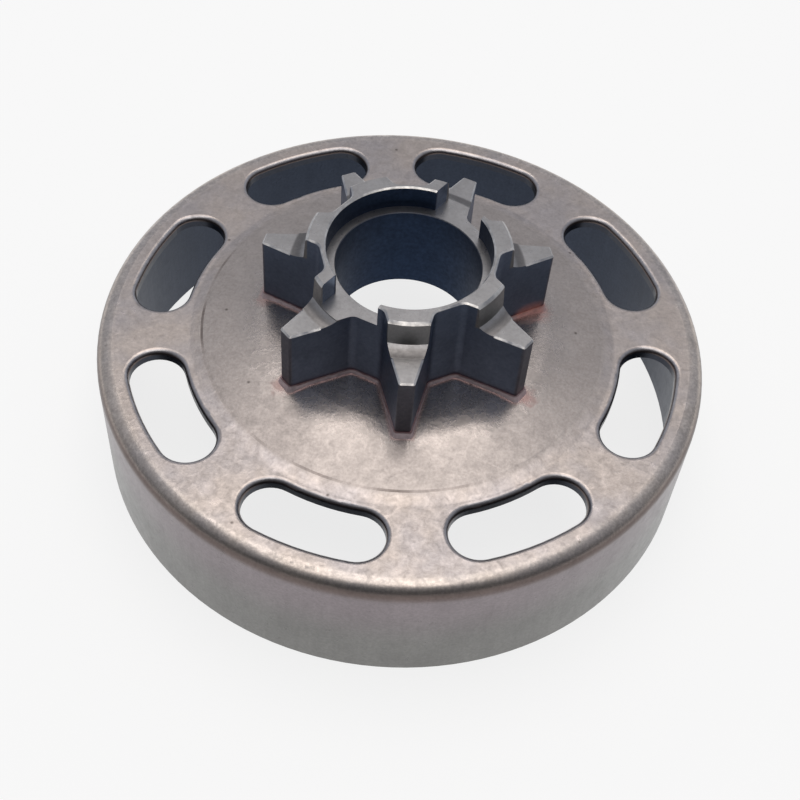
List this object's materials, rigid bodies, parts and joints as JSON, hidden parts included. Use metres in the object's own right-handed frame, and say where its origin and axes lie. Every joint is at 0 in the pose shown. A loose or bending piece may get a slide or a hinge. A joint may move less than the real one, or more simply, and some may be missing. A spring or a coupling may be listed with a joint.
{
  "type": "chainsaw clutch drum with spur sprocket",
  "caption": "Steel chainsaw sprocket: a slotted clutch drum cup with a star of chain teeth brazed to its closed end, round a castellated hub with a bearing bore.",
  "frame": {"origin": "centre of the plane that the drum's rim stands on", "axes": "+Z along the crankshaft's axis from the drum's open rim to the sprocket's collar; -Y through the middle of one tooth"},
  "size_m": [0.0782, 0.0782, 0.033],
  "materials": {
    "drum_steel": "satin, warm grey from the brazing furnace, mottled",
    "sprocket_steel": "satin, bright along the edges",
    "braze_copper": "dull reddish copper"
  },
  "bodies": {
    "root": {"clutch_drum": "drum_steel", "spur_sprocket": "sprocket_steel", "braze_seam": "braze_copper"}
  },
  "joints": []
}
